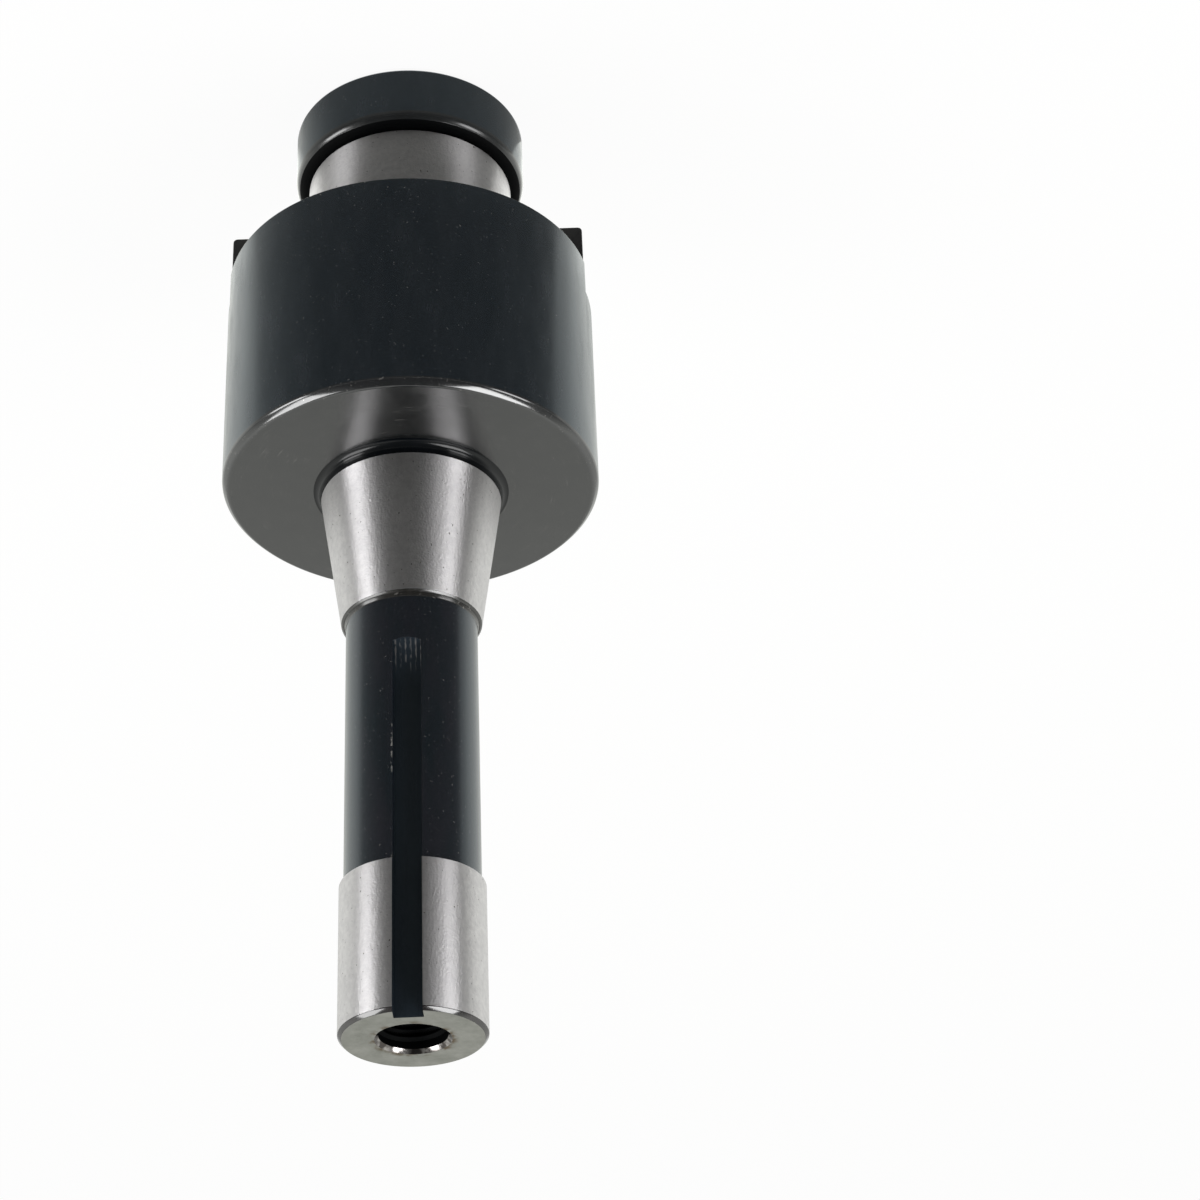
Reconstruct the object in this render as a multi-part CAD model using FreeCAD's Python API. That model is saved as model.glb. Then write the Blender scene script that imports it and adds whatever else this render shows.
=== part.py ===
import FreeCAD, Part
import math
import os

# Shell mill arbor: an R8 shank, a thick flange with two drive keys and a 1 1/2 inch pilot for the cutter.
# Millimetres. The arbor stands on the flat face of its clamp screw's head, shank up, so +Z is the
# arbor's axis and points from the pilot to the drawbar end. The drive keys lie along X.

# Clamp screw: a 3/4-10 screw whose wide head holds the cutter on the pilot.
head_d = 43.0
head_t = 12.7
head_face_chamfer = 0.8
head_seat_chamfer = 1.2
clamp_thread_d = 19.05
clamp_thread_length = 32.0
clamp_undercut_depth = 1.6
clamp_undercut_length = 3.5
clamp_tip_chamfer = 1.6
clamp_socket_af = 15.88
clamp_socket_depth = 8.0
clamp_socket_edge = 0.6
clamp_hole_spare = 9.0
clamp_hole_mouth_chamfer = 0.9

# Pilot: the ground spigot that centres the cutter.
pilot_d = 38.1
pilot_length = 23.8
pilot_end_chamfer = 0.5
pilot_relief_length = 2.0
pilot_relief_depth = 0.3

# Flange: the thick body between the pilot and the shank. Its radius is the pilot's, the keys' length
# and the gaps at both ends of a key.
flange_height = 44.45
flange_face_edge = 0.25
flange_shank_edge = 0.6

# Shank: a collar, the 16 degree 51 minute taper, a relieved neck and a ground land.
collar_d = 31.75
collar_fillet = 1.4
shank_length = 101.6
collar_length = 2.1
taper_half_angle = 8.425
taper_length = 25.6
taper_edge = 0.35
land_d = 24.1
neck_relief = 0.75
neck_corner = 0.5
land_length = 26.5
land_step_chamfer = 0.25
land_end_chamfer = 0.6

# Drawbar hole in the shank end, drawn at the root of its 7/16-20 thread.
drawbar_thread_d = 11.11
drawbar_thread_depth = 38.0
drawbar_mouth_chamfer = 0.4

# Keyway of the shank: milled from the end with a disc cutter, which leaves a curved run-out.
keyway_width = 4.76
keyway_depth = 3.3
keyway_length = 57.6
keyway_cutter_r = 20.0
keyway_turn = 0.9

# Drive keys: two blocks in slots of the drive face, each held by a socket head screw.
key_width = 15.88
key_length = 12.3
key_pilot_gap = 0.85
key_rim_gap = 1.15
key_proud = 8.2
key_sunk = 7.0
key_top_round = 0.6
key_edge_chamfer = 0.3
key_inner_corner_r = 1.9
slot_inner_corner_r = 1.5
slot_gap = 0.02
slot_end_gap = 0.1

# Key screws: 1/4-20 socket head screws, sunk in a counterbore of each key.
key_screw_d = 6.35
key_screw_head_d = 9.53
key_screw_head_t = 6.35
key_screw_length = 15.88
key_screw_socket_af = 4.76
key_screw_socket_depth = 3.0
key_screw_edge = 0.4
key_screw_hole_gap = 0.3
key_screw_bore_gap = 0.25
key_screw_below_top = 0.4
key_screw_hole_spare = 3.0

# Clearances that every thread and drilled hole shares.
thread_gap = 0.1
drill_half_angle = 59.0
cut_over = 1.0

# Levels along the axis, worked out from the lengths above.
pilot_end_z = head_t
drive_face_z = pilot_end_z + pilot_length
shank_face_z = drive_face_z + flange_height
taper_start_z = shank_face_z + collar_length
taper_end_z = taper_start_z + taper_length
shank_end_z = taper_start_z + shank_length
land_start_z = shank_end_z - land_length
slot_floor_z = drive_face_z + key_sunk
key_top_z = drive_face_z - key_proud
key_screw_seat_z = key_top_z + key_screw_below_top + key_screw_head_t
clamp_thread_start_z = pilot_end_z + clamp_undercut_length
clamp_tip_z = clamp_thread_start_z + clamp_thread_length

# Radii, worked out from the sizes above.
key_inner_r = pilot_d / 2 + key_pilot_gap
key_outer_r = key_inner_r + key_length
key_centre_r = (key_inner_r + key_outer_r) / 2
flange_r = key_outer_r + key_rim_gap
taper_slope = math.tan(math.radians(taper_half_angle))
taper_small_r = collar_d / 2 - taper_length * taper_slope
land_r = land_d / 2
neck_r = land_r - neck_relief
keyway_floor_r = land_r - keyway_depth


def vec(x, y, z):
    return FreeCAD.Vector(x, y, z)


def turned(outline):
    """Solid turned about Z from its half outline: points (r, z), or (r, z, radius) for a round corner."""
    starts = []
    ends = []
    arcs = []
    for i, corner in enumerate(outline):
        here = vec(corner[0], 0, corner[1])
        start = here
        end = here
        arc = None
        if len(corner) == 3:
            before = outline[i - 1]
            after = outline[(i + 1) % len(outline)]
            back = (vec(before[0], 0, before[1]) - here).normalize()
            onward = (vec(after[0], 0, after[1]) - here).normalize()
            half_angle = back.getAngle(onward) / 2
            middle = (back + onward).normalize()
            start = here + back * (corner[2] / math.tan(half_angle))
            end = here + onward * (corner[2] / math.tan(half_angle))
            crown = here + middle * (corner[2] / math.sin(half_angle) - corner[2])
            arc = Part.Arc(start, crown, end).toShape()
        starts.append(start)
        ends.append(end)
        arcs.append(arc)
    edges = []
    for i, arc in enumerate(arcs):
        if arc is not None:
            edges.append(arc)
        edges.append(Part.LineSegment(ends[i], starts[(i + 1) % len(starts)]).toShape())
    return Part.Face(Part.Wire(edges)).revolve(vec(0, 0, 0), vec(0, 0, 1), 360)


def drilled(radius, depth, mouth_r, mouth_z, sign):
    """Drilled hole as a turned tool, from mouth_z along sign, with a chamfered mouth and a drill point."""
    chamfer = mouth_r - radius
    point = radius / math.tan(math.radians(drill_half_angle))
    return turned([
        (0, mouth_z - sign * cut_over),
        (mouth_r + cut_over, mouth_z - sign * cut_over),
        (radius, mouth_z + sign * chamfer),
        (radius, mouth_z + sign * depth),
        (0, mouth_z + sign * (depth + point)),
    ])


def hex_prism(across_flats, z, height):
    corner_r = across_flats / 2 / math.cos(math.radians(30))
    points = []
    for i in range(7):
        angle = math.radians(60 * i)
        points.append(vec(corner_r * math.cos(angle), corner_r * math.sin(angle), z))
    return Part.Face(Part.makePolygon(points)).extrude(vec(0, 0, height))


def socket_tool(across_flats, depth, mouth_z, edge):
    """Hexagon socket cut upward from mouth_z, with a chamfered mouth and the point of its drilled hole."""
    corner_r = across_flats / 2 / math.cos(math.radians(30))
    flat_r = across_flats / 2
    hexagon = hex_prism(across_flats, mouth_z - cut_over, depth + cut_over)
    mouth = turned([
        (0, mouth_z - cut_over),
        (corner_r + cut_over, mouth_z - cut_over),
        (flat_r, mouth_z + corner_r - flat_r),
        (0, mouth_z + corner_r - flat_r),
    ])
    point = turned([
        (0, mouth_z + depth - edge),
        (flat_r, mouth_z + depth - edge),
        (flat_r, mouth_z + depth),
        (0, mouth_z + depth + flat_r / math.tan(math.radians(drill_half_angle))),
    ])
    return hexagon.fuse([mouth, point])


def body_blank():
    """The turned arbor, from the pilot's end face to the end of the shank."""
    pilot_r = pilot_d / 2
    relief_r = pilot_r - pilot_relief_depth
    collar_r = collar_d / 2
    return turned([
        (0, pilot_end_z),
        (pilot_r - pilot_end_chamfer, pilot_end_z),
        (pilot_r, pilot_end_z + pilot_end_chamfer),
        (pilot_r, drive_face_z - pilot_relief_length),
        (relief_r, drive_face_z - pilot_relief_length + pilot_relief_depth),
        (relief_r, drive_face_z),
        (flange_r - flange_face_edge, drive_face_z),
        (flange_r, drive_face_z + flange_face_edge),
        (flange_r, shank_face_z - flange_shank_edge),
        (flange_r - flange_shank_edge, shank_face_z),
        (collar_r, shank_face_z, collar_fillet),
        (collar_r, taper_start_z),
        (taper_small_r + taper_edge * taper_slope, taper_end_z - taper_edge),
        (taper_small_r - taper_edge, taper_end_z),
        (neck_r + neck_corner, taper_end_z),
        (neck_r, taper_end_z + neck_corner),
        (neck_r, land_start_z),
        (land_r - land_step_chamfer, land_start_z),
        (land_r, land_start_z + land_step_chamfer),
        (land_r, shank_end_z - land_end_chamfer),
        (land_r - land_end_chamfer, shank_end_z),
        (0, shank_end_z),
    ])


def drawbar_hole():
    """Drawbar hole at its thread's root diameter, with a chamfered mouth."""
    thread_r = drawbar_thread_d / 2
    return drilled(thread_r, drawbar_thread_depth, thread_r + drawbar_mouth_chamfer, shank_end_z, -1)


def clamp_hole():
    """Tapped hole of the clamp screw in the pilot, at its thread's root diameter."""
    root_r = clamp_thread_d / 2 + thread_gap
    depth = clamp_tip_z + clamp_hole_spare - pilot_end_z
    return drilled(root_r, depth, root_r + clamp_hole_mouth_chamfer, pilot_end_z, 1)


def keyway():
    """Keyway of the shank: a straight groove that ends in the arc of the disc cutter."""
    outer_r = land_r + cut_over
    stop_z = shank_end_z - keyway_length
    groove = Part.makeBox(keyway_width, outer_r - keyway_floor_r, keyway_length + cut_over,
                          vec(-keyway_width / 2, -outer_r, stop_z))
    cutter = Part.makeCylinder(keyway_cutter_r, keyway_width,
                               vec(-keyway_width / 2, -keyway_floor_r - keyway_cutter_r, stop_z),
                               vec(1, 0, 0))
    tool = groove.fuse(cutter)
    tool.rotate(vec(0, 0, 0), vec(0, 0, 1), keyway_turn)
    return tool


def key_block(width, inner_r, outer_r, low_z, high_z, inner_corner_r):
    """Block along +X whose two inner upright corners are rounded."""
    block = Part.makeBox(outer_r - inner_r, width, high_z - low_z, vec(inner_r, -width / 2, low_z))
    corners = []
    for edge in block.Edges:
        box = edge.BoundBox
        if box.XMax < inner_r + 1e-4 and box.ZLength > 1e-4:
            corners.append(edge)
    return block.makeFillet(inner_corner_r, corners)


def slot_tool():
    """Slot of one drive key, open at the flange's rim, with the tapped hole in its floor."""
    slot = key_block(key_width + 2 * slot_gap, key_inner_r - slot_end_gap, flange_r + cut_over,
                     drive_face_z - cut_over, slot_floor_z, slot_inner_corner_r)
    root_r = key_screw_d / 2 + thread_gap
    depth = key_screw_seat_z + key_screw_length - slot_floor_z + key_screw_hole_spare
    hole = drilled(root_r, depth, root_r + thread_gap, slot_floor_z, 1)
    hole.translate(vec(key_centre_r, 0, 0))
    return slot, hole


def both_sides(shape):
    """The shape on the +X side and its copy turned half round, on the -X side."""
    other = shape.copy()
    other.rotate(vec(0, 0, 0), vec(0, 0, 1), 180)
    return [shape, other]


def arbor_body():
    tools = [clamp_hole(), keyway(), drawbar_hole()]
    for tool in slot_tool():
        tools.extend(both_sides(tool))
    return body_blank().cut(tools)


def drive_key():
    """Key along +X: an outer top edge worn round, broken side edges and a counterbored hole."""
    block = key_block(key_width, key_inner_r, key_outer_r, key_top_z, slot_floor_z, key_inner_corner_r)
    outer_top = []
    for edge in block.Edges:
        box = edge.BoundBox
        if box.XMin > key_outer_r - 1e-4 and box.ZMax < key_top_z + 1e-4:
            outer_top.append(edge)
    block = block.makeFillet(key_top_round, outer_top)
    long_top = []
    for edge in block.Edges:
        box = edge.BoundBox
        if box.ZMax < key_top_z + 1e-4 and box.YLength < 1e-4:
            long_top.append(edge)
    block = block.makeChamfer(key_edge_chamfer, long_top)
    bore_r = key_screw_d / 2 + key_screw_hole_gap
    counterbore_r = key_screw_head_d / 2 + key_screw_bore_gap
    top = vec(key_centre_r, 0, key_top_z - cut_over)
    bore = Part.makeCylinder(bore_r, slot_floor_z - key_top_z + 2 * cut_over, top)
    counterbore = Part.makeCylinder(counterbore_r, key_screw_seat_z - key_top_z + cut_over, top)
    return block.cut([bore, counterbore])


def key_screw():
    """Socket head screw, its head toward the cutter and its thread drawn at the crest."""
    face_z = key_screw_seat_z - key_screw_head_t
    head_r = key_screw_head_d / 2
    thread_r = key_screw_d / 2
    tip_z = key_screw_seat_z + key_screw_length
    screw = turned([
        (0, face_z),
        (head_r - key_screw_edge, face_z),
        (head_r, face_z + key_screw_edge),
        (head_r, key_screw_seat_z),
        (thread_r, key_screw_seat_z),
        (thread_r, tip_z),
        (0, tip_z),
    ])
    screw = screw.cut(hex_prism(key_screw_socket_af, face_z - cut_over, key_screw_socket_depth + cut_over))
    screw.translate(vec(key_centre_r, 0, 0))
    return screw


def clamp_screw():
    """Clamp screw: wide head with a hexagon socket, undercut and M16 thread drawn at the crest."""
    head_r = head_d / 2
    thread_r = clamp_thread_d / 2
    undercut_r = thread_r - clamp_undercut_depth
    screw = turned([
        (0, 0),
        (head_r - head_face_chamfer, 0),
        (head_r, head_face_chamfer),
        (head_r, head_t - head_seat_chamfer),
        (head_r - head_seat_chamfer, head_t),
        (undercut_r, head_t),
        (undercut_r, clamp_thread_start_z),
        (thread_r, clamp_thread_start_z + clamp_undercut_depth),
        (thread_r, clamp_tip_z - clamp_tip_chamfer),
        (thread_r - clamp_tip_chamfer, clamp_tip_z),
        (0, clamp_tip_z),
    ])
    return screw.cut(socket_tool(clamp_socket_af, clamp_socket_depth, 0, clamp_socket_edge))


os.makedirs("parts", exist_ok=True)
right_key, left_key = both_sides(drive_key())
right_screw, left_screw = both_sides(key_screw())
nodes = {
    "arbor_body": arbor_body(),
    "clamp_screw": clamp_screw(),
    "drive_key_right": right_key,
    "drive_key_left": left_key,
    "key_screw_right": right_screw,
    "key_screw_left": left_screw,
}
for name, shape in nodes.items():
    shape.exportStep("parts/" + name + ".step")
    print(name, "solids", len(shape.Solids), "valid", shape.isValid(), "volume %.1f" % shape.Volume)
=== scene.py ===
import math
import bmesh
import bpy
from mathutils import Matrix, Vector


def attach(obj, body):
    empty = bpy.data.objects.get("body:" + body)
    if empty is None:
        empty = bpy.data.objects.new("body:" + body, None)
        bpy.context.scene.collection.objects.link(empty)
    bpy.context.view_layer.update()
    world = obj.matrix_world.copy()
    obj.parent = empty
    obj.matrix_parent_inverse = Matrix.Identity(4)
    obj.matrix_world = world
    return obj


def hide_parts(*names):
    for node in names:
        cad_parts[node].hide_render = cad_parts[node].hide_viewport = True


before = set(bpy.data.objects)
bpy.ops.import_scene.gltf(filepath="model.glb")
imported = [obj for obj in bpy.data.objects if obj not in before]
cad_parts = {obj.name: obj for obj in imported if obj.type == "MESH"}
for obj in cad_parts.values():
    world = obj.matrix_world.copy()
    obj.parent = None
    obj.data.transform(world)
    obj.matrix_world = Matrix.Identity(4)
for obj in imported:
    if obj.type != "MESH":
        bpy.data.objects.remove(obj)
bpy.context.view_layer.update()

mm = 0.001  # sizes are in millimetres, apart from the stage's and the lamps', which are in metres
touching = 1e-6  # metres within which two points are one
overrun = 2.0  # how far a cutter reaches out of the piece it cuts
print("frame loaded:", sorted(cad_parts))


# The camera looks down at the shank's end, and is turned over, so that the shank hangs down in the picture.

cameraView = dict(
    place=(-26.175, -412.191, 357.277),
    turn=(-58.4632, -2.198, 179.543),
    lens=83.77,
    sensor=36.0,
    clip=(0.01, 50.0),  # in metres
    azimuth=-93.63,  # direction from the axis to the camera, in degrees from +X
)


def addCamera():
    lens = bpy.data.cameras.new("camera")
    lens.lens = cameraView["lens"]
    lens.sensor_width = cameraView["sensor"]
    lens.clip_start, lens.clip_end = cameraView["clip"]
    camera = bpy.data.objects.new("camera", lens)
    camera.location = Vector(cameraView["place"]) * mm
    camera.rotation_euler = [math.radians(a) for a in cameraView["turn"]]
    bpy.context.scene.collection.objects.link(camera)
    bpy.context.scene.camera = camera


addCamera()
print("camera set")


# Finishes

noiseRange = (0.3, 0.7)  # the levels that hold most of a noise


def srgb(hexColour):
    # linear colour of an sRGB hex value
    channels = [int(hexColour[i:i + 2], 16) / 255 for i in (1, 3, 5)]
    return tuple(c / 12.92 if c <= 0.04045 else ((c + 0.055) / 1.055) ** 2.4 for c in channels) + (1.0,)


def addNode(tree, kind, inputs=None, out=0, **settings):
    # Each input is a node's output, a value or a hex colour. out picks the output to return, or None for all.
    node = tree.nodes.new("ShaderNode" + kind)
    for name, value in settings.items():
        setattr(node, name, value)
    for place, source in (inputs or {}).items():
        if isinstance(source, bpy.types.NodeSocket):
            tree.links.new(source, node.inputs[place])
        else:
            node.inputs[place].default_value = srgb(source) if isinstance(source, str) else source
    return node.outputs if out is None else node.outputs[out]


def newMaterial(name):
    material = bpy.data.materials.new(name)
    material.use_nodes = True
    material.node_tree.nodes.clear()
    return material, material.node_tree


def finishMaterial(tree, inputs):
    addNode(tree, "OutputMaterial", {"Surface": addNode(tree, "BsdfPrincipled", inputs)}, out=None)


def objectPoint(tree, stretch=(1, 1, 1)):
    return addNode(tree, "Mapping", {"Vector": addNode(tree, "TexCoord", out="Object"), "Scale": stretch})


def grain(tree, size, detail=2.0, rough=0.5, stretch=(1, 1, 1)):
    # noise whose grains are size millimetres across, and longer along an axis with a stretch under 1
    return addNode(tree, "TexNoise", {"Vector": objectPoint(tree, stretch), "Scale": 1 / (size * mm),
                                      "Detail": detail, "Roughness": rough}, out="Fac")


def patches(tree, size, low, high, levels=noiseRange, detail=2.0, rough=0.5, stretch=(1, 1, 1)):
    # grains that go from low to high between two levels of their noise
    noise = grain(tree, size, detail, rough, stretch)
    return addNode(tree, "MapRange", {"Value": noise, "From Min": levels[0], "From Max": levels[1],
                                      "To Min": low, "To Max": high})


def overlap(tree, *masks):
    # where all the masks meet
    shared = masks[0]
    for mask in masks[1:]:
        shared = addNode(tree, "Math", {0: shared, 1: mask}, operation="MULTIPLY")
    return shared


groundSizes = dict(light="#d3d1d2", dark="#c6c4c6", pit="#5c5856", roughness=(0.36, 0.41), anisotropy=0.97,
                   lineTurn=0.25, cloudGrain=0.9, cloudDepth=0.035, fineGrain=0.36, fineDepth=0.035,
                   pitGrain=0.5, pitDepth=0.01, pitLevels=(0.22, 0.27))


def groundSteel():
    # Hardened tool steel, cylindrically ground. The grit leaves fine lines round the axis, which draw each
    # lamp out into an upright band. The lines are too fine to show, so the grain is drawn coarser.
    g = groundSizes
    material, tree = newMaterial("ground_tool_steel")
    cloud = grain(tree, g["cloudGrain"], 3.0, 0.6)
    fine = grain(tree, g["fineGrain"], 1.0)
    pits = patches(tree, g["pitGrain"], 1.0, 0.0, g["pitLevels"], 1.0)
    shade = addNode(tree, "MapRange", {"Value": cloud, "From Min": noiseRange[0], "From Max": noiseRange[1]})
    smooth, coarse = g["roughness"]
    rough = addNode(tree, "MapRange", {"Value": shade, "To Min": smooth, "To Max": coarse})
    colour = addNode(tree, "Mix", {"Factor": shade, 6: g["light"], 7: g["dark"]}, out=2, data_type="RGBA")
    colour = addNode(tree, "Mix", {"Factor": pits, 6: colour, 7: g["pit"]}, out=2, data_type="RGBA")
    normal = addNode(tree, "Bump", {"Height": pits, "Strength": 1.0, "Distance": -g["pitDepth"] * mm})
    for height, depth in ((cloud, g["cloudDepth"]), (fine, g["fineDepth"])):
        normal = addNode(tree, "Bump", {"Height": height, "Normal": normal, "Strength": 1.0,
                                        "Distance": depth * mm})
    tangent = addNode(tree, "Tangent", direction_type="RADIAL", axis="Z")
    finishMaterial(tree, {"Base Color": colour, "Roughness": rough, "Normal": normal, "Tangent": tangent,
                          "Metallic": 1.0, "Anisotropic": g["anisotropy"],
                          "Anisotropic Rotation": g["lineTurn"]})
    return material


markSizes = dict(width=0.3, sweep=9.0, levels=(0.61, 0.74))


def turningMarks(tree, strength):
    # thin arcs round the axis, where chips or a cutter have rubbed: a noise laid out by radius and angle
    m = markSizes
    flat = objectPoint(tree, (1, 1, 0))
    radius = addNode(tree, "VectorMath", {0: flat}, out="Value", operation="LENGTH")
    sweep = addNode(tree, "TexGradient", {"Vector": flat}, out="Fac", gradient_type="RADIAL")
    along = addNode(tree, "Math", {0: sweep, 1: m["sweep"] * mm}, operation="MULTIPLY")
    polar = addNode(tree, "CombineXYZ", {"X": radius, "Y": along})
    marks = addNode(tree, "TexNoise", {"Vector": polar, "Scale": 1 / (m["width"] * mm), "Detail": 3.0,
                                       "Roughness": 0.6}, out="Fac")
    low, high = m["levels"]
    return addNode(tree, "MapRange", {"Value": marks, "From Min": low, "From Max": high, "To Max": strength})


nickSizes = dict(edge=2.53, reach=0.12, fadeOut=0.36, low=119.5, lowFade=1.0, dent=0.6, group=5.5,
                 levels=(0.52, 0.62), bare="#8e8b87")


def edgeNicks(tree):
    # small pale dents in groups along one edge of the keyway, where it was knocked
    n = nickSizes
    axes = addNode(tree, "SeparateXYZ", {"Vector": addNode(tree, "TexCoord", out="Object")}, out=None)
    offset = addNode(tree, "Math", {0: axes["X"], 1: n["edge"] * mm}, operation="SUBTRACT")
    away = addNode(tree, "Math", {0: offset}, operation="ABSOLUTE")
    near = addNode(tree, "MapRange", {"Value": away, "From Min": n["reach"] * mm,
                                      "From Max": n["fadeOut"] * mm, "To Min": 1.0, "To Max": 0.0})
    keywaySide = addNode(tree, "MapRange", {"Value": axes["Y"], "From Min": -mm, "From Max": mm,
                                            "To Min": 1.0, "To Max": 0.0})
    alongKeyway = addNode(tree, "MapRange", {"Value": axes["Z"], "From Min": n["low"] * mm,
                                             "From Max": (n["low"] + n["lowFade"]) * mm},
                          interpolation_type="SMOOTHSTEP")
    dents = patches(tree, n["dent"], 0.0, 1.0, n["levels"], 2.0, 0.6)
    groups = patches(tree, n["group"], 0.0, 1.0, n["levels"], 1.0)
    return overlap(tree, near, keywaySide, alongKeyway, dents, groups)


blackSizes = dict(cloudGrain=4.0, cloudStretch=(1, 1, 0.3), grain=0.35, grainDepth=0.0005, speckGrain=0.5,
                  speckFade=0.06, bare="#a8a5a2", blueing="#e1f1fd")


def blackOxide(name, deep, thin, roughness, ior, specks=(0.0, 0.2), sheen="#ffffff", rubbed=0.0,
               nicked=False):
    # Turned steel, chemically blacked and oiled: black with a satin sheen, which sheen tints. Where the coat
    # is off it shows bare steel: specks gives how bare, and the noise level up to which there are specks.
    # rubbed is how bare the turning marks are, and nicked adds the dents by the keyway.
    b = blackSizes
    bare, speckLevel = specks
    material, tree = newMaterial(name)
    cloud = patches(tree, b["cloudGrain"], 0.0, 1.0, detail=4.0, rough=0.65, stretch=b["cloudStretch"])
    rough = addNode(tree, "MapRange", {"Value": cloud, "To Min": roughness[0], "To Max": roughness[1]})
    metallic = patches(tree, b["speckGrain"], bare, 0.0, (speckLevel, speckLevel + b["speckFade"]), 3.0, 0.7)
    if rubbed:
        metallic = addNode(tree, "Math", {0: metallic, 1: turningMarks(tree, rubbed)}, operation="MAXIMUM")
    colour = addNode(tree, "Mix", {"Factor": cloud, 6: deep, 7: thin}, out=2, data_type="RGBA")
    colour = addNode(tree, "Mix", {"Factor": metallic, 6: colour, 7: b["bare"]}, out=2, data_type="RGBA")
    if nicked:
        colour = addNode(tree, "Mix", {"Factor": edgeNicks(tree), 6: colour, 7: nickSizes["bare"]}, out=2,
                         data_type="RGBA")
    normal = addNode(tree, "Bump", {"Height": grain(tree, b["grain"], 2.0, 0.6), "Strength": 1.0,
                                    "Distance": b["grainDepth"] * mm})
    finishMaterial(tree, {"Base Color": colour, "Roughness": rough, "Normal": normal, "Metallic": metallic,
                          "IOR": ior, "Specular Tint": sheen})
    return material


mouthSizes = dict(light="#aca8a6", dark="#575250", roughness=(0.1, 0.18), patch=1.8, patchLevels=(0.42, 0.56),
                  grain=0.3, grainDepth=0.004)


def bareCutSteel():
    # Bare steel cut by a countersink: bright with sharp glints, dark where oil and the thread's start lie.
    m = mouthSizes
    material, tree = newMaterial("countersunk_mouth_steel")
    dark = patches(tree, m["patch"], 0.0, 1.0, m["patchLevels"], 2.0, 0.6)
    fine = grain(tree, m["grain"])
    rough = addNode(tree, "MapRange", {"Value": fine, "From Min": noiseRange[0], "From Max": noiseRange[1],
                                       "To Min": m["roughness"][0], "To Max": m["roughness"][1]})
    colour = addNode(tree, "Mix", {"Factor": dark, 6: m["light"], 7: m["dark"]}, out=2, data_type="RGBA")
    normal = addNode(tree, "Bump", {"Height": fine, "Strength": 1.0, "Distance": m["grainDepth"] * mm})
    finishMaterial(tree, {"Base Color": colour, "Roughness": rough, "Normal": normal, "Metallic": 1.0})
    return material


waveStep = math.pi / 10  # a wave texture's crests lie this far apart at a scale of 1

faceSizes = dict(light="#aeaea8", dark="#94958e", cloudGrain=3.0, roughness=(0.42, 0.55), roughGrain=0.4,
                 metallic=0.85, ringPitch=0.6, ringDepth=0.003, ringWander=1.5,
                 stain="#6a5c48", stainGrain=2.2, stainLevels=(0.45, 0.6), stainReach=7.6, stainFull=6.2)


def endFaceSteel():
    # Bare steel faced in the lathe: dull grey-green, with fine rings and an oily stain by the hole.
    f = faceSizes
    material, tree = newMaterial("faced_end_steel")
    rings = addNode(tree, "TexWave", {"Vector": objectPoint(tree), "Scale": waveStep / (f["ringPitch"] * mm),
                                      "Distortion": f["ringWander"], "Detail": 3.0},
                    out="Fac", wave_type="RINGS", rings_direction="Z")
    radius = addNode(tree, "VectorMath", {0: objectPoint(tree, (1, 1, 0))}, out="Value", operation="LENGTH")
    byHole = addNode(tree, "MapRange", {"Value": radius, "From Min": f["stainReach"] * mm,
                                        "From Max": f["stainFull"] * mm}, interpolation_type="SMOOTHSTEP")
    stained = overlap(tree, byHole, patches(tree, f["stainGrain"], 0.0, 1.0, f["stainLevels"], 3.0, 0.6))
    cloud = patches(tree, f["cloudGrain"], 0.0, 1.0, detail=4.0, rough=0.6)
    colour = addNode(tree, "Mix", {"Factor": cloud, 6: f["light"], 7: f["dark"]}, out=2, data_type="RGBA")
    colour = addNode(tree, "Mix", {"Factor": stained, 6: colour, 7: f["stain"]}, out=2, data_type="RGBA")
    normal = addNode(tree, "Bump", {"Height": rings, "Strength": 1.0, "Distance": f["ringDepth"] * mm})
    rough = patches(tree, f["roughGrain"], *f["roughness"], detail=3.0, rough=0.6)
    finishMaterial(tree, {"Base Color": colour, "Roughness": rough, "Normal": normal,
                          "Metallic": f["metallic"]})
    return material


grooveSizes = dict(black="#182028", streak="#8a8888", roughness=(0.42, 0.55), grain=0.5, ior=1.45,
                   streakPitch=0.85, streakWander=0.6, streakLevels=(0.62, 0.92), streakStretch=(1, 1, 0.15),
                   streakDepth=0.01, streakLow=117.2, streakHigh=123.4, lowFade=1.2, highFade=4.5,
                   raggedGrain=0.5, raggedLevels=(0.42, 0.6), raggedStretch=(1, 1, 0.05))


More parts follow.
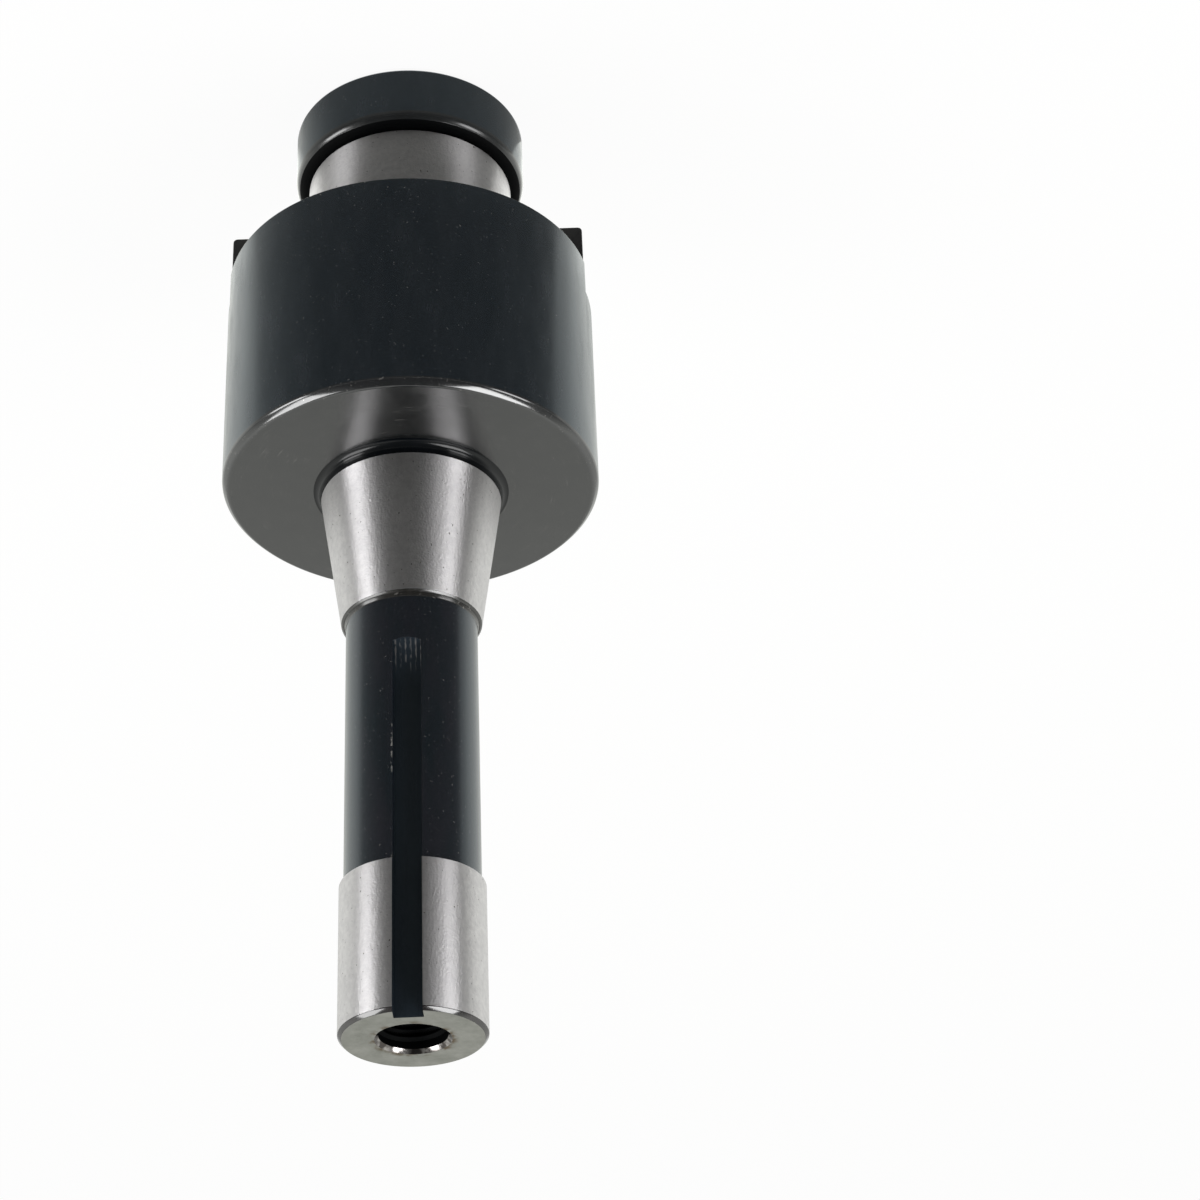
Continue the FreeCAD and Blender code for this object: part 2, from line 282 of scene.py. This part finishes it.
def blackMilled():
    # Milled groove, blacked and never ground: near black and dull, with pale chatter streaks at its run-out.
    g = grooveSizes
    material, tree = newMaterial("blacked_milled_groove")
    height = addNode(tree, "SeparateXYZ", {"Vector": addNode(tree, "TexCoord", out="Object")}, out="Z")
    starts = addNode(tree, "MapRange", {"Value": height, "From Min": g["streakLow"] * mm,
                                        "From Max": (g["streakLow"] + g["lowFade"]) * mm},
                     interpolation_type="SMOOTHSTEP")
    stops = addNode(tree, "MapRange", {"Value": height, "From Min": g["streakHigh"] * mm,
                                       "From Max": (g["streakHigh"] - g["highFade"]) * mm},
                    interpolation_type="SMOOTHSTEP")
    bands = addNode(tree, "TexWave", {"Vector": objectPoint(tree, g["streakStretch"]),
                                      "Scale": waveStep / (g["streakPitch"] * mm),
                                      "Distortion": g["streakWander"], "Detail": 0.0},
                    out="Fac", wave_type="BANDS", bands_direction="X")
    lines = addNode(tree, "MapRange", {"Value": bands, "From Min": g["streakLevels"][0],
                                       "From Max": g["streakLevels"][1]})
    ragged = patches(tree, g["raggedGrain"], 0.0, 1.0, g["raggedLevels"], 1.0, stretch=g["raggedStretch"])
    streaks = overlap(tree, lines, ragged)
    marks = overlap(tree, starts, stops, streaks)
    colour = addNode(tree, "Mix", {"Factor": marks, 6: g["black"], 7: g["streak"]}, out=2, data_type="RGBA")
    normal = addNode(tree, "Bump", {"Height": streaks, "Strength": 1.0, "Distance": g["streakDepth"] * mm})
    finishMaterial(tree, {"Base Color": colour, "Metallic": marks, "Normal": normal, "IOR": g["ior"],
                          "Roughness": patches(tree, g["grain"], *g["roughness"]),
                          "Specular Tint": blackSizes["blueing"]})
    return material


# One black coat, on every turned or milled face. The first colour is where it is thick, the second where it
# is thin. Edges are worn by handling and heat browned the land's end chamfer. The drawbar hole and the clamp
# screw's seat are painted near black and dull, so they reflect least: painted shade.
blue = blackSizes["blueing"]
materials = dict(
    ground=groundSteel(),
    black=blackOxide("black_oxide_turned", "#050c13", "#12161c", roughness=(0.15, 0.3), ior=1.93,
                     specks=(0.45, 0.266), sheen=blue),
    neck=blackOxide("black_oxide_neck", "#060f15", "#151119", roughness=(0.18, 0.25), ior=1.75,
                    specks=(0.55, 0.27), sheen=blue, nicked=True),
    worn=blackOxide("black_oxide_rubbed_edge", "#090b0e", "#111317", roughness=(0.1, 0.17), ior=2.1,
                    specks=(0.8, 0.3)),
    handled=blackOxide("black_oxide_handled_edge", "#0a0d11", "#101316", roughness=(0.17, 0.24), ior=1.9,
                       specks=(0.3, 0.2)),
    step=blackOxide("black_oxide_step", "#0b0a09", "#1a1713", roughness=(0.14, 0.3), ior=1.9,
                    specks=(0.8, 0.31)),
    chamfer=blackOxide("heat_darkened_chamfer", "#0b090a", "#221a1e", roughness=(0.1, 0.18), ior=1.95,
                       specks=(0.5, 0.3)),
    seat=blackOxide("black_oxide_faced_seat", "#0f1112", "#181919", roughness=(0.15, 0.25), ior=2.15,
                    specks=(0.4, 0.26), rubbed=0.22),
    collar=blackOxide("black_oxide_fillet", "#05080b", "#090c10", roughness=(0.14, 0.2), ior=1.42,
                      specks=(0.4, 0.14)),
    # painted shade: near black and dull, for the drawbar hole and the clamp screw's seat
    paintedShade=blackOxide("black_recess_painted_shade", "#020304", "#040506", roughness=(0.55, 0.65), ior=1.15,
                      specks=(0.0, 0.1)),
    nick=blackOxide("nicked_groove_edge", "#0a0f13", "#0d1318", roughness=(0.25, 0.4), ior=1.8,
                    specks=(1.0, 0.48), nicked=True),
    mouth=bareCutSteel(),
    groove=blackMilled(),
    face=endFaceSteel(),
    key=blackOxide("black_oxide_key", "#121113", "#191719", roughness=(0.3, 0.4), ior=1.6,
                   specks=(0.4, 0.17)),
)
materialOrder = list(materials)
print("materials made:", len(materials))


# Ways to make a shape

def turned(bm, outline, steps):
    # spins a half outline of (radius, height, rounding) about Z, with more segments on the large rounds
    verts = [bm.verts.new((r * mm, 0, z * mm)) for r, z, *_ in outline]
    for first, second in zip(verts, verts[1:]):
        bm.edges.new((first, second))
    rounds = [corner[2] if len(corner) > 2 else 0 for corner in outline]
    for size in sorted(set(rounds) - {0}):
        corners = [v for v, own in zip(verts, rounds) if own == size]
        bmesh.ops.bevel(bm, geom=corners, offset=size * mm, offset_type="OFFSET", profile=0.5,
                        segments=4 if size < 1 else 8, affect="VERTICES", material=-1)
    bmesh.ops.spin(bm, geom=bm.verts[:] + bm.edges[:], cent=(0, 0, 0), axis=(0, 0, 1),
                   angle=math.radians(360), steps=steps, use_merge=True, use_duplicate=False)
    bmesh.ops.remove_doubles(bm, verts=bm.verts[:], dist=touching)
    bmesh.ops.recalc_face_normals(bm, faces=bm.faces[:])


def meshObject(name, bm, slots=None):
    mesh = bpy.data.meshes.new(name)
    bm.to_mesh(mesh)
    bm.free()
    piece = bpy.data.objects.new(name, mesh)
    for slot in slots or []:
        mesh.materials.append(materials[slot])
    bpy.context.scene.collection.objects.link(piece)
    return piece


def cutAway(piece, cutters):
    for cutter in cutters:
        cut = piece.modifiers.new("cut", "BOOLEAN")
        cut.operation = "DIFFERENCE"
        cut.solver = "EXACT"
        cut.material_mode = "TRANSFER"
        cut.object = cutter
    graph = bpy.context.evaluated_depsgraph_get()
    cutMesh = bpy.data.meshes.new_from_object(piece.evaluated_get(graph))
    piece.modifiers.clear()
    piece.data = cutMesh
    for cutter in cutters:
        bpy.data.objects.remove(cutter)


def setFinishes(piece, names):
    piece.data.materials.clear()
    for name in names:
        piece.data.materials.append(materials[name])


def softEdges(piece, angle=32):
    piece.data.shade_smooth()
    piece.data.set_sharp_from_angle(angle=math.radians(angle))


def block(bm, low, high):
    made = bmesh.ops.create_cube(bm, size=1.0)["verts"]
    size = [(b - a) * mm for a, b in zip(low, high)]
    middle = [(a + b) / 2 * mm for a, b in zip(low, high)]
    bmesh.ops.scale(bm, vec=size, verts=made)
    bmesh.ops.translate(bm, vec=middle, verts=made)


def rod(bm, radius, low, high, centre=(0, 0), sides=48, tip=None):
    end = radius if tip is None else tip
    made = bmesh.ops.create_cone(bm, cap_ends=True, segments=sides, radius1=radius * mm, radius2=end * mm,
                                 depth=(high - low) * mm)["verts"]
    bmesh.ops.translate(bm, vec=(centre[0] * mm, centre[1] * mm, (low + high) / 2 * mm), verts=made)


def roundEdges(bm, edges, size, segments):
    bmesh.ops.bevel(bm, geom=edges, offset=size * mm, offset_type="OFFSET", segments=segments, profile=0.5,
                    affect="EDGES", material=-1)


def halfTurn(bm):
    bmesh.ops.rotate(bm, verts=bm.verts[:], cent=(0, 0, 0), matrix=Matrix.Rotation(math.pi, 3, "Z"))


def newVerts(made):
    return [part for part in made["geom"] if isinstance(part, bmesh.types.BMVert)]


# Arbor body

arbor = dict(
    pilotEnd=12.7, pilotRadius=19.05, pilotChamfer=0.5, reliefLength=2.0, reliefDepth=0.3,
    driveFace=36.5, flangeRadius=33.35, shankFace=80.95, rimChamfer=1.0, rimEdge=0.25,
    collarRadius=15.875, collarFillet=1.4,
    taperStart=83.05, taperEnd=108.65, taperSmall=12.083, taperEdge=0.35, taperGain=0.052,
    neckRadius=11.3, neckStep=0.3, neckRise=0.5,
    landStart=158.15, landRadius=12.05, landEdge=0.25, landChamfer=0.62, shankEnd=184.65,
    threadRadius=5.555, threadDepth=38.0, mouthChamfer=0.65,
    clampHoleRadius=9.625, clampHoleEnd=57.2, clampHoleChamfer=0.9, drillAngle=118,
    slotWidth=15.92, slotInner=19.8, slotFloor=43.5, slotCorner=1.5,
    screwHoleRadius=3.275, screwHoleEnd=53.93, keyScrewAxis=26.05, steps=288,
)
edgeRounds = dict(pilot=0.1, relief=0.2, backRim=0.06, frontRim=0.4, collar=0.05, taper=0.08, neck=0.2,
                  land=0.05, landEnd=0.12, endFace=0.1, mouth=0.08)
keyway = dict(width=4.76, floor=8.75, stop=127.05, cutter=20.0, turn=0.9, edge=0.18, plate=12.0,
              arc=45, arcSteps=40)
drawbarThread = dict(pitch=1.27, height=0.6, foot=0.03, top=1.6, crest=(0.4, 0.5), footWidth=0.9,
                     turns=20, stepsPerTurn=60)


def arborOutline():
    a = arbor
    e = edgeRounds
    drillPoint = 1 / math.tan(math.radians(a["drillAngle"] / 2))
    return [
        (0, a["clampHoleEnd"] + a["clampHoleRadius"] * drillPoint),
        (a["clampHoleRadius"], a["clampHoleEnd"]),
        (a["clampHoleRadius"], a["pilotEnd"] + a["clampHoleChamfer"]),
        (a["clampHoleRadius"] + a["clampHoleChamfer"], a["pilotEnd"]),
        (a["pilotRadius"] - a["pilotChamfer"], a["pilotEnd"], e["pilot"]),
        (a["pilotRadius"], a["pilotEnd"] + a["pilotChamfer"], e["pilot"]),
        (a["pilotRadius"], a["driveFace"] - a["reliefLength"]),
        (a["pilotRadius"] - a["reliefDepth"], a["driveFace"] - a["reliefLength"] + a["reliefDepth"]),
        (a["pilotRadius"] - a["reliefDepth"], a["driveFace"], e["relief"]),
        (a["flangeRadius"] - a["rimEdge"], a["driveFace"], e["backRim"]),
        (a["flangeRadius"], a["driveFace"] + a["rimEdge"], e["backRim"]),
        (a["flangeRadius"], a["shankFace"] - a["rimChamfer"], e["frontRim"]),
        (a["flangeRadius"] - a["rimChamfer"], a["shankFace"], e["frontRim"]),
        (a["collarRadius"], a["shankFace"], a["collarFillet"]),
        (a["collarRadius"], a["taperStart"], e["collar"]),
        (a["taperSmall"] + a["taperGain"], a["taperEnd"] - a["taperEdge"], e["taper"]),
        (a["taperSmall"] - a["taperEdge"], a["taperEnd"], e["taper"]),
        (a["neckRadius"] + a["neckStep"], a["taperEnd"]),
        (a["neckRadius"], a["taperEnd"] + a["neckRise"], e["neck"]),
        (a["neckRadius"], a["landStart"]),
        (a["landRadius"] - a["landEdge"], a["landStart"], e["land"]),
        (a["landRadius"], a["landStart"] + a["landEdge"], e["land"]),
        (a["landRadius"], a["shankEnd"] - a["landChamfer"], e["landEnd"]),
        (a["landRadius"] - a["landChamfer"], a["shankEnd"], e["endFace"]),
        (a["threadRadius"] + a["mouthChamfer"], a["shankEnd"], e["mouth"]),
        (a["threadRadius"], a["shankEnd"] - a["mouthChamfer"]),
        (a["threadRadius"], a["shankEnd"] - a["threadDepth"]),
        (0, a["shankEnd"] - a["threadDepth"] - a["threadRadius"] * drillPoint),
    ]


def finishZones():
    # where each finish lies, by height and radius, a little past its corners: the first zone that fits holds
    a = arbor
    endChamfer = a["shankEnd"] - a["landChamfer"] - 0.05
    betweenHoleAndLand = 9
    return [
        dict(finish="face", above=a["shankEnd"] - 0.02),
        # the drawbar hole and its thread get painted shade
        dict(finish="paintedShade", above=a["shankEnd"] - a["threadDepth"] - 5, within=a["threadRadius"] + 0.1),
        dict(finish="chamfer", above=endChamfer, outside=betweenHoleAndLand),
        dict(finish="mouth", above=endChamfer),
        dict(finish="ground", above=a["landStart"] + 0.2, outside=a["landRadius"] - 0.1),
        dict(finish="neck", above=a["taperEnd"] + a["neckRise"] + 0.1),
        dict(finish="step", above=a["taperEnd"] - a["taperEdge"]),
        dict(finish="ground", above=a["taperStart"]),
        dict(finish="worn", above=a["shankFace"] - a["rimChamfer"] - 0.35,
             outside=a["flangeRadius"] - a["rimChamfer"] - 0.3),
        dict(finish="worn", below=a["driveFace"] + a["rimEdge"] + 0.05,
             outside=a["flangeRadius"] - a["rimEdge"] - 0.05),
        dict(finish="ground", above=a["pilotEnd"] + 0.1, below=a["driveFace"] - a["reliefLength"],
             outside=a["pilotRadius"] - 0.3),
        dict(finish="seat", above=a["shankFace"] - 0.05, outside=a["collarRadius"] + a["collarFillet"] - 0.1),
        dict(finish="collar", above=a["shankFace"] - 0.05),
        dict(finish="black"),
    ]


def finishAt(zones, radius, z):
    far = math.inf
    for zone in zones:
        if zone.get("above", -far) < z < zone.get("below", far):
            if zone.get("outside", -far) < radius < zone.get("within", far):
                return zone["finish"]


def keywayCutter():
    # groove as a plate: its side outline is the floor line and the arc of the disc cutter
    k = keyway
    bm = bmesh.new()
    start = bm.verts.new((0, -k["floor"] * mm, k["stop"] * mm))
    end = bm.verts.new((0, -k["floor"] * mm, (arbor["shankEnd"] + overrun) * mm))
    bm.edges.new((start, end))
    bmesh.ops.spin(bm, geom=[start], cent=(0, -(k["floor"] + k["cutter"]) * mm, k["stop"] * mm),
                   axis=(1, 0, 0), angle=math.radians(-k["arc"]), steps=k["arcSteps"], use_duplicate=False)
    sheet = bmesh.ops.extrude_edge_only(bm, edges=bm.edges[:])
    bmesh.ops.translate(bm, vec=(0, -k["plate"] * mm, 0), verts=newVerts(sheet))
    plate = bmesh.ops.extrude_face_region(bm, geom=bm.faces[:])
    bmesh.ops.translate(bm, vec=(k["width"] * mm, 0, 0), verts=newVerts(plate))
    bmesh.ops.translate(bm, vec=(-k["width"] / 2 * mm, 0, 0), verts=bm.verts[:])
    bmesh.ops.rotate(bm, verts=bm.verts[:], cent=(0, 0, 0),
                     matrix=Matrix.Rotation(math.radians(k["turn"]), 3, "Z"))
    bmesh.ops.recalc_face_normals(bm, faces=bm.faces[:])
    return meshObject("keyway_cutter", bm, ["groove"])


def slotCutters():
    # the key slots and the tapped holes in their floors
    a = arbor
    cutters = []
    for side in (0, 1):
        bm = bmesh.new()
        block(bm, (a["slotInner"], -a["slotWidth"] / 2, a["driveFace"] - overrun),
              (a["flangeRadius"] + overrun, a["slotWidth"] / 2, a["slotFloor"]))
        corners = [e for e in bm.edges if all(abs(v.co.x - a["slotInner"] * mm) < touching for v in e.verts)
                   and abs(e.verts[0].co.z - e.verts[1].co.z) > mm]
        roundEdges(bm, corners, a["slotCorner"], 6)
        if side:
            halfTurn(bm)
        cutters.append(meshObject("slot_cutter", bm, ["black"]))
        bm = bmesh.new()
        rod(bm, a["screwHoleRadius"], a["slotFloor"] - overrun, a["screwHoleEnd"], (a["keyScrewAxis"], 0), 32)
        if side:
            halfTurn(bm)
        cutters.append(meshObject("screw_hole_cutter", bm, ["black"]))
    return cutters


def addDrawbarThread(bm):
    # a helical ridge: a trapezium swept down the hole, its foot sunk in the wall
    t = drawbarThread
    foot = arbor["threadRadius"] + t["foot"]
    crest = foot - t["height"]
    top = arbor["shankEnd"] - t["top"]
    corners = [(foot, 0), (foot, t["footWidth"]), (crest, t["crest"][1]), (crest, t["crest"][0])]
    thread = bmesh.new()
    verts = [thread.verts.new((r * mm, 0, (top - share * t["pitch"]) * mm)) for r, share in corners]
    bmesh.ops.spin(thread, geom=[thread.faces.new(verts)], cent=(0, 0, 0), axis=(0, 0, 1),
                   dvec=(0, 0, -t["pitch"] * mm / t["stepsPerTurn"]), angle=math.radians(360 * t["turns"]),
                   steps=t["turns"] * t["stepsPerTurn"], use_merge=False, use_duplicate=False)
    ridge = bpy.data.meshes.new("thread_ridge")
    thread.to_mesh(ridge)
    thread.free()
    bm.from_mesh(ridge)
    bpy.data.meshes.remove(ridge)


def makeArborBody():
    bm = bmesh.new()
    turned(bm, arborOutline(), arbor["steps"])
    body = meshObject("arbor_body_finished", bm, ["black"])
    cutAway(body, [keywayCutter()] + slotCutters())
    grooveIndex = [m.name for m in body.data.materials].index(materials["groove"].name)
    bm = bmesh.new()
    bm.from_mesh(body.data)
    edges = [e for e in bm.edges if len(e.link_faces) == 2
             and {f.material_index == grooveIndex for f in e.link_faces} == {True, False}]
    broken = set(bmesh.ops.bevel(bm, geom=edges, offset=keyway["edge"] * mm, offset_type="OFFSET", segments=2,
                                 profile=0.5, affect="EDGES", material=-1, clamp_overlap=True)["faces"])
    addDrawbarThread(bm)
    bmesh.ops.recalc_face_normals(bm, faces=bm.faces[:])
    zones = finishZones()
    for face in bm.faces:
        middle = face.calc_center_median() / mm
        if face in broken:
            finish = "nick"
        elif face.material_index == grooveIndex:
            finish = "groove"
        else:
            finish = finishAt(zones, math.hypot(middle.x, middle.y), middle.z)
        face.material_index = materialOrder.index(finish)
    setFinishes(body, materialOrder)
    bm.to_mesh(body.data)
    bm.free()
    softEdges(body)
    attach(body, "root")
    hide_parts("arbor_body")


makeArborBody()
print("arbor body made")


# Clamp screw

clamp = dict(headRadius=21.5, headThickness=12.7, faceChamfer=0.8, faceRound=0.2, seatRound=2.2,
             paintedShadeHeight=0.7, threadRadius=9.525, undercut=1.6, undercutLength=3.5, threadLength=32.0,
             tipChamfer=1.6, socketFlats=15.88, socketDepth=8.0, socketMouth=1.6, steps=240)


def hexagonRadius(flats):
    return flats / 2 / math.cos(math.radians(30))


def makeClampScrew():
    c = clamp
    seat = c["headThickness"]
    start = seat + c["undercutLength"]
    tip = start + c["threadLength"]
    bm = bmesh.new()
    turned(bm, [
        (0, 0),
        (c["headRadius"] - c["faceChamfer"], 0, c["faceRound"]),
        (c["headRadius"], c["faceChamfer"], c["faceRound"]),
        (c["headRadius"], seat, c["seatRound"]),
        (c["threadRadius"] - c["undercut"], seat),
        (c["threadRadius"] - c["undercut"], start),
        (c["threadRadius"], start + c["undercut"]),
        (c["threadRadius"], tip - c["tipChamfer"]),
        (c["threadRadius"] - c["tipChamfer"], tip),
        (0, tip),
    ], c["steps"])
    screw = meshObject("clamp_screw_finished", bm, ["black"])
    cornerRadius = hexagonRadius(c["socketFlats"])
    bm = bmesh.new()
    rod(bm, cornerRadius, -overrun, c["socketDepth"], sides=6)
    socket = meshObject("socket_cutter", bm, ["black"])
    bm = bmesh.new()
    rod(bm, cornerRadius + overrun, -overrun, c["socketMouth"], sides=96, tip=cornerRadius - c["socketMouth"])
    mouth = meshObject("mouth_cutter", bm, ["black"])
    cutAway(screw, [socket, mouth])
    finishes = ["black", "handled", "paintedShade"]
    setFinishes(screw, finishes)
    for face in screw.data.polygons:
        height = face.center.z / mm
        radius = math.hypot(face.center.x, face.center.y) / mm
        # the seat and the inner part of its round get painted shade, near black and dull
        if height > seat - c["paintedShadeHeight"]:
            face.material_index = finishes.index("paintedShade")
        elif radius > c["headRadius"] - c["seatRound"] and height > seat - c["seatRound"]:
            face.material_index = finishes.index("handled")
    softEdges(screw)
    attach(screw, "root")
    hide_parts("clamp_screw")


makeClampScrew()
print("clamp screw made")


# Drive keys and their screws, made at +X and turned half round for the other side

driveKey = dict(inner=19.9, outer=32.2, width=15.88, top=28.3, floor=43.5, topRound=0.8, edge=0.3,
                innerRound=1.9, sharpAngle=50, boreRadius=3.475, counterRadius=5.015, seat=35.05, axis=26.05)
keyScrew = dict(face=28.7, seat=35.05, tip=50.93, headRadius=4.765, threadRadius=3.175, edge=0.4,
                edgeRound=0.1, socketFlats=4.76, socketDepth=3.0, steps=64)


def makeDriveKey(side, node):
    k = driveKey
    bm = bmesh.new()
    block(bm, (k["inner"], -k["width"] / 2, k["top"]), (k["outer"], k["width"] / 2, k["floor"]))
    near = 0.01

    def edgesWhere(test):
        return [e for e in bm.edges if all(test(v.co / mm) for v in e.verts)]

    upright = [e for e in edgesWhere(lambda p: abs(p.x - k["inner"]) < near)
               if abs(e.verts[0].co.z - e.verts[1].co.z) > mm]
    roundEdges(bm, upright, k["innerRound"], 6)
    outerTop = edgesWhere(lambda p: abs(p.x - k["outer"]) < near and abs(p.z - k["top"]) < near)
    roundEdges(bm, outerTop, k["topRound"], 5)
    sharp = [e for e in bm.edges if e.calc_face_angle(0) > math.radians(k["sharpAngle"])]
    roundEdges(bm, sharp, k["edge"], 3)
    if side:
        halfTurn(bm)
    key = meshObject(node + "_finished", bm, ["key"])
    centre = (-k["axis"] if side else k["axis"], 0)
    bm = bmesh.new()
    rod(bm, k["boreRadius"], k["seat"] - overrun, k["floor"] + overrun, centre)
    bore = meshObject("bore_cutter", bm, ["key"])
    bm = bmesh.new()
    rod(bm, k["counterRadius"], k["top"] - overrun, k["seat"], centre)
    counter = meshObject("counterbore_cutter", bm, ["key"])
    cutAway(key, [bore, counter])
    setFinishes(key, ["key"])
    softEdges(key)
    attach(key, "root")
    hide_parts(node)


def makeKeyScrew(side, node):
    s = keyScrew
    x = -driveKey["axis"] if side else driveKey["axis"]
    bm = bmesh.new()
    turned(bm, [
        (0, s["face"]),
        (s["headRadius"] - s["edge"], s["face"], s["edgeRound"]),
        (s["headRadius"], s["face"] + s["edge"], s["edgeRound"]),
        (s["headRadius"], s["seat"]),
        (s["threadRadius"], s["seat"]),
        (s["threadRadius"], s["tip"]),
        (0, s["tip"]),
    ], s["steps"])
    bmesh.ops.translate(bm, vec=(x * mm, 0, 0), verts=bm.verts[:])
    screw = meshObject(node + "_finished", bm, ["key"])
    bm = bmesh.new()
    rod(bm, hexagonRadius(s["socketFlats"]), s["face"] - overrun, s["face"] + s["socketDepth"], (x, 0), 6)
    cutAway(screw, [meshObject("socket_cutter", bm, ["key"])])
    setFinishes(screw, ["key"])
    softEdges(screw)
    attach(screw, "root")
    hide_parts(node)


for side, name in ((0, "right"), (1, "left")):
    makeDriveKey(side, "drive_key_" + name)
    makeKeyScrew(side, "key_screw_" + name)
print("keys and key screws made")


# Floor, reflections and lights

stage = dict(floorRadius=4.0, floorSides=96, floorColour="#f4f4f2", floorWhite=0.93,
             cardInner=0.0217, cardOuter=1.6, cardHeight=0.0003, cardSteps=72,
             nearRadius=0.03, farRadius=0.075, nearGlow=2.0, tint=(0.985, 1.0, 0.955))
white = (1, 1, 1, 1)

# Brightness of the table and of the studio round it, as the metal sees them, by degrees to the right of the
# camera's side: dark behind the camera, pale from each side round to the back.
tableLevels = [(-180, 0.8), (-150, 1.12), (-112, 1.12), (-100, 0.9), (-91, 0.4), (-75, 0.26), (-60, 0.18),
               (-48, 0.14), (0, 0.115), (50, 0.14), (70, 0.16), (86, 0.24), (95, 0.7), (105, 1.05),
               (118, 1.15), (150, 1.12)]
studioLevels = [(-180, 0.52), (-150, 0.7), (-124, 0.95), (-106, 0.7), (-97, 0.4), (-60, 0.3), (-40, 0.12),
                (0, 0.1), (35, 0.12), (60, 0.25), (88, 0.25), (98, 0.5), (110, 0.9), (150, 0.7)]


def roundRamp(tree, point, levels):
    # the levels as a ramp round the vertical axis
    sweep = addNode(tree, "TexGradient", {"Vector": point}, out="Fac", gradient_type="RADIAL")
    ramp = addNode(tree, "ValToRGB", {"Fac": sweep})
    places = sorted(((cameraView["azimuth"] + 180 - degrees) / 360 % 1, level) for degrees, level in levels)
    stops = ramp.node.color_ramp.elements
    stops.remove(stops[-1])
    stops[0].position = places[0][0]
    for place, _ in places[1:]:
        stops.new(place)
    for stop, (_, level) in zip(stops, places):
        stop.color = [level * part for part in stage["tint"]] + [1]
    return ramp


def backgroundRay(tree):
    # 1 for what the camera sees straight, in a reflection or through glass
    rays = addNode(tree, "LightPath", out=None)
    seen = addNode(tree, "Math", {0: rays["Is Camera Ray"], 1: rays["Is Glossy Ray"]}, operation="MAXIMUM")
    return addNode(tree, "Math", {0: seen, 1: rays["Is Transmission Ray"]}, operation="MAXIMUM")


def addFloor():
    bm = bmesh.new()
    bmesh.ops.create_circle(bm, cap_ends=True, segments=stage["floorSides"], radius=stage["floorRadius"])
    bmesh.ops.recalc_face_normals(bm, faces=bm.faces[:])
    floor = meshObject("floor", bm)
    material, tree = newMaterial("pale_table")
    lit = addNode(tree, "BsdfDiffuse", {"Color": stage["floorColour"]})
    glow = addNode(tree, "Emission", {"Color": white, "Strength": 1.0})
    share = addNode(tree, "Math", {0: backgroundRay(tree), 1: stage["floorWhite"]}, operation="MULTIPLY")
    table = addNode(tree, "MixShader", {"Fac": share, 1: lit, 2: glow})
    addNode(tree, "OutputMaterial", {"Surface": table}, out=None)
    floor.data.materials.append(material)


def addReflectionCard():
    # A ring on the table that only reflections see: dark on the camera's side, white round the sides.
    bm = bmesh.new()
    inner = bm.verts.new((stage["cardInner"], 0, stage["cardHeight"]))
    outer = bm.verts.new((stage["cardOuter"], 0, stage["cardHeight"]))
    bm.edges.new((inner, outer))
    bmesh.ops.spin(bm, geom=bm.verts[:] + bm.edges[:], cent=(0, 0, 0), axis=(0, 0, 1),
                   angle=math.radians(360), steps=stage["cardSteps"], use_merge=True, use_duplicate=False)
    bmesh.ops.recalc_face_normals(bm, faces=bm.faces[:])
    card = meshObject("reflection_card", bm)
    material, tree = newMaterial("reflection_card")
    point = addNode(tree, "TexCoord", out="Object")
    reach = addNode(tree, "VectorMath", {0: point}, out="Value", operation="LENGTH")
    near = addNode(tree, "MapRange", {"Value": reach, "From Min": stage["nearRadius"],
                                      "From Max": stage["farRadius"], "To Min": stage["nearGlow"],
                                      "To Max": 1.0})
    glow = addNode(tree, "Emission", {"Color": roundRamp(tree, point, tableLevels), "Strength": near})
    addNode(tree, "OutputMaterial", {"Surface": glow}, out=None)
    card.data.materials.append(material)
    card.visible_camera = False
    card.visible_diffuse = False
    card.visible_shadow = False
    card.visible_transmission = False


lampAim = 90.0  # height of the point that the lamps face
lamps = dict(
    left=dict(side=-72, rise=12, distance=1.1, size=(0.46, 0.36), power=2.6),
    right=dict(side=57, rise=12, distance=1.1, size=(0.42, 0.36), power=1.75),
    upperLeft=dict(side=-82, rise=46, distance=1.1, size=(0.6, 0.46), power=4.4),
    upperRight=dict(side=62, rise=53, distance=1.1, size=(0.6, 0.46), power=5.6),
)


def addLamp(name, side, rise, distance, size, power):
    # side: degrees to the right of the camera, as the picture shows it. rise: degrees above the table.
    light = bpy.data.lights.new(name, "AREA")
    light.shape = "RECTANGLE"
    light.size, light.size_y = size
    light.energy = power
    lamp = bpy.data.objects.new(name, light)
    azimuth = math.radians(cameraView["azimuth"] - side)
    height = math.radians(rise)
    direction = Vector((math.cos(azimuth) * math.cos(height), math.sin(azimuth) * math.cos(height),
                        math.sin(height)))
    lamp.location = Vector((0, 0, lampAim * mm)) + direction * distance
    lamp.rotation_euler = direction.to_track_quat("Z", "Y").to_euler()
    lamp.visible_camera = False
    bpy.context.scene.collection.objects.link(lamp)


def addWorld():
    # grey studio for the object, plain white behind it
    world = bpy.data.worlds.new("studio")
    world.use_nodes = True
    tree = world.node_tree
    tree.nodes.clear()
    point = addNode(tree, "TexCoord", out="Generated")
    grey = addNode(tree, "Background", {"Color": roundRamp(tree, point, studioLevels)})
    behind = addNode(tree, "Background", {"Color": white, "Strength": 1.0})
    seen = addNode(tree, "LightPath", out="Is Camera Ray")
    studio = addNode(tree, "MixShader", {"Fac": seen, 1: grey, 2: behind})
    addNode(tree, "OutputWorld", {"Surface": studio}, out=None)
    bpy.context.scene.world = world


addFloor()
addReflectionCard()
addWorld()
for name, lamp in lamps.items():
    addLamp(name + "_softbox", **lamp)
bpy.context.scene.view_settings.view_transform = "Standard"
print("stage and lights set")
